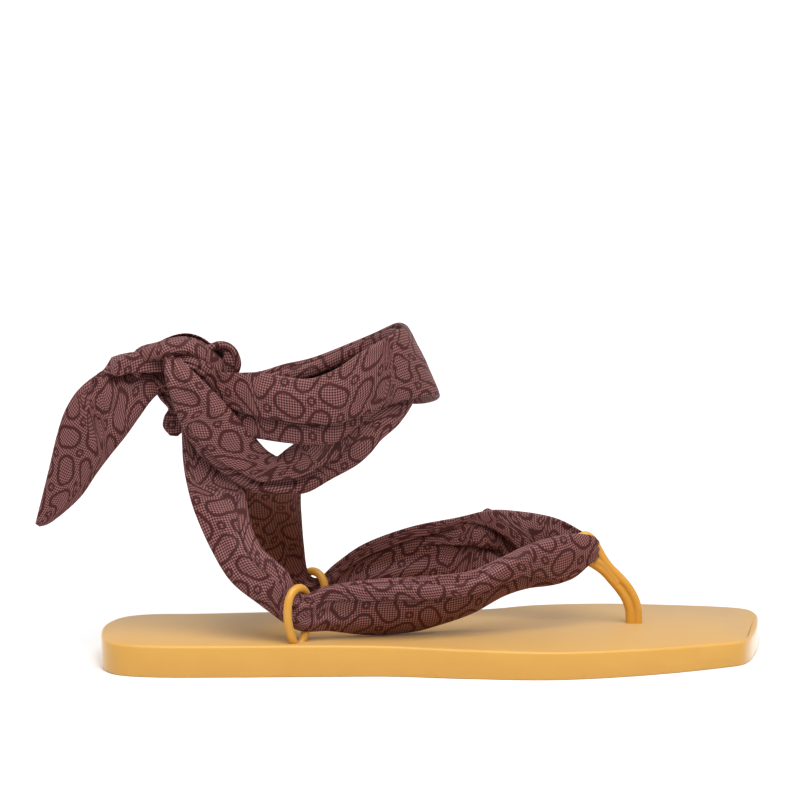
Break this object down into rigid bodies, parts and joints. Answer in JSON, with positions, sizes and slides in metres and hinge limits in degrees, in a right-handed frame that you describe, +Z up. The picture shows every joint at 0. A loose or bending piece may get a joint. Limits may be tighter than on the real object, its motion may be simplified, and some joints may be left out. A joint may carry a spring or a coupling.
{
  "type": "thong sandal with scarf ankle tie, right shoe",
  "caption": "Flat rubber thong sandal for the right foot, with side rings and a printed scarf as straps, ankle wrap, knot and hanging tail.",
  "frame": {"origin": "on the sole's underside, in the middle of its length", "axes": "+X to the toes, +Y to the inner (big toe) side, +Z up from the floor"},
  "size_m": [0.2799, 0.0922, 0.1282],
  "materials": {
    "footbed_rubber": "moulded, matt, mustard yellow",
    "ring_rubber": "moulded, satin, mustard yellow",
    "scarf_cloth": "woven, matt, maroon with a pale dotted print"
  },
  "bodies": {
    "root": {"sole": "footbed_rubber", "toe_post": "ring_rubber", "lateral_ring": "ring_rubber", "medial_ring": "ring_rubber", "scarf_upper": "scarf_cloth", "scarf_knot": "scarf_cloth", "scarf_tail": "scarf_cloth"}
  },
  "joints": []
}
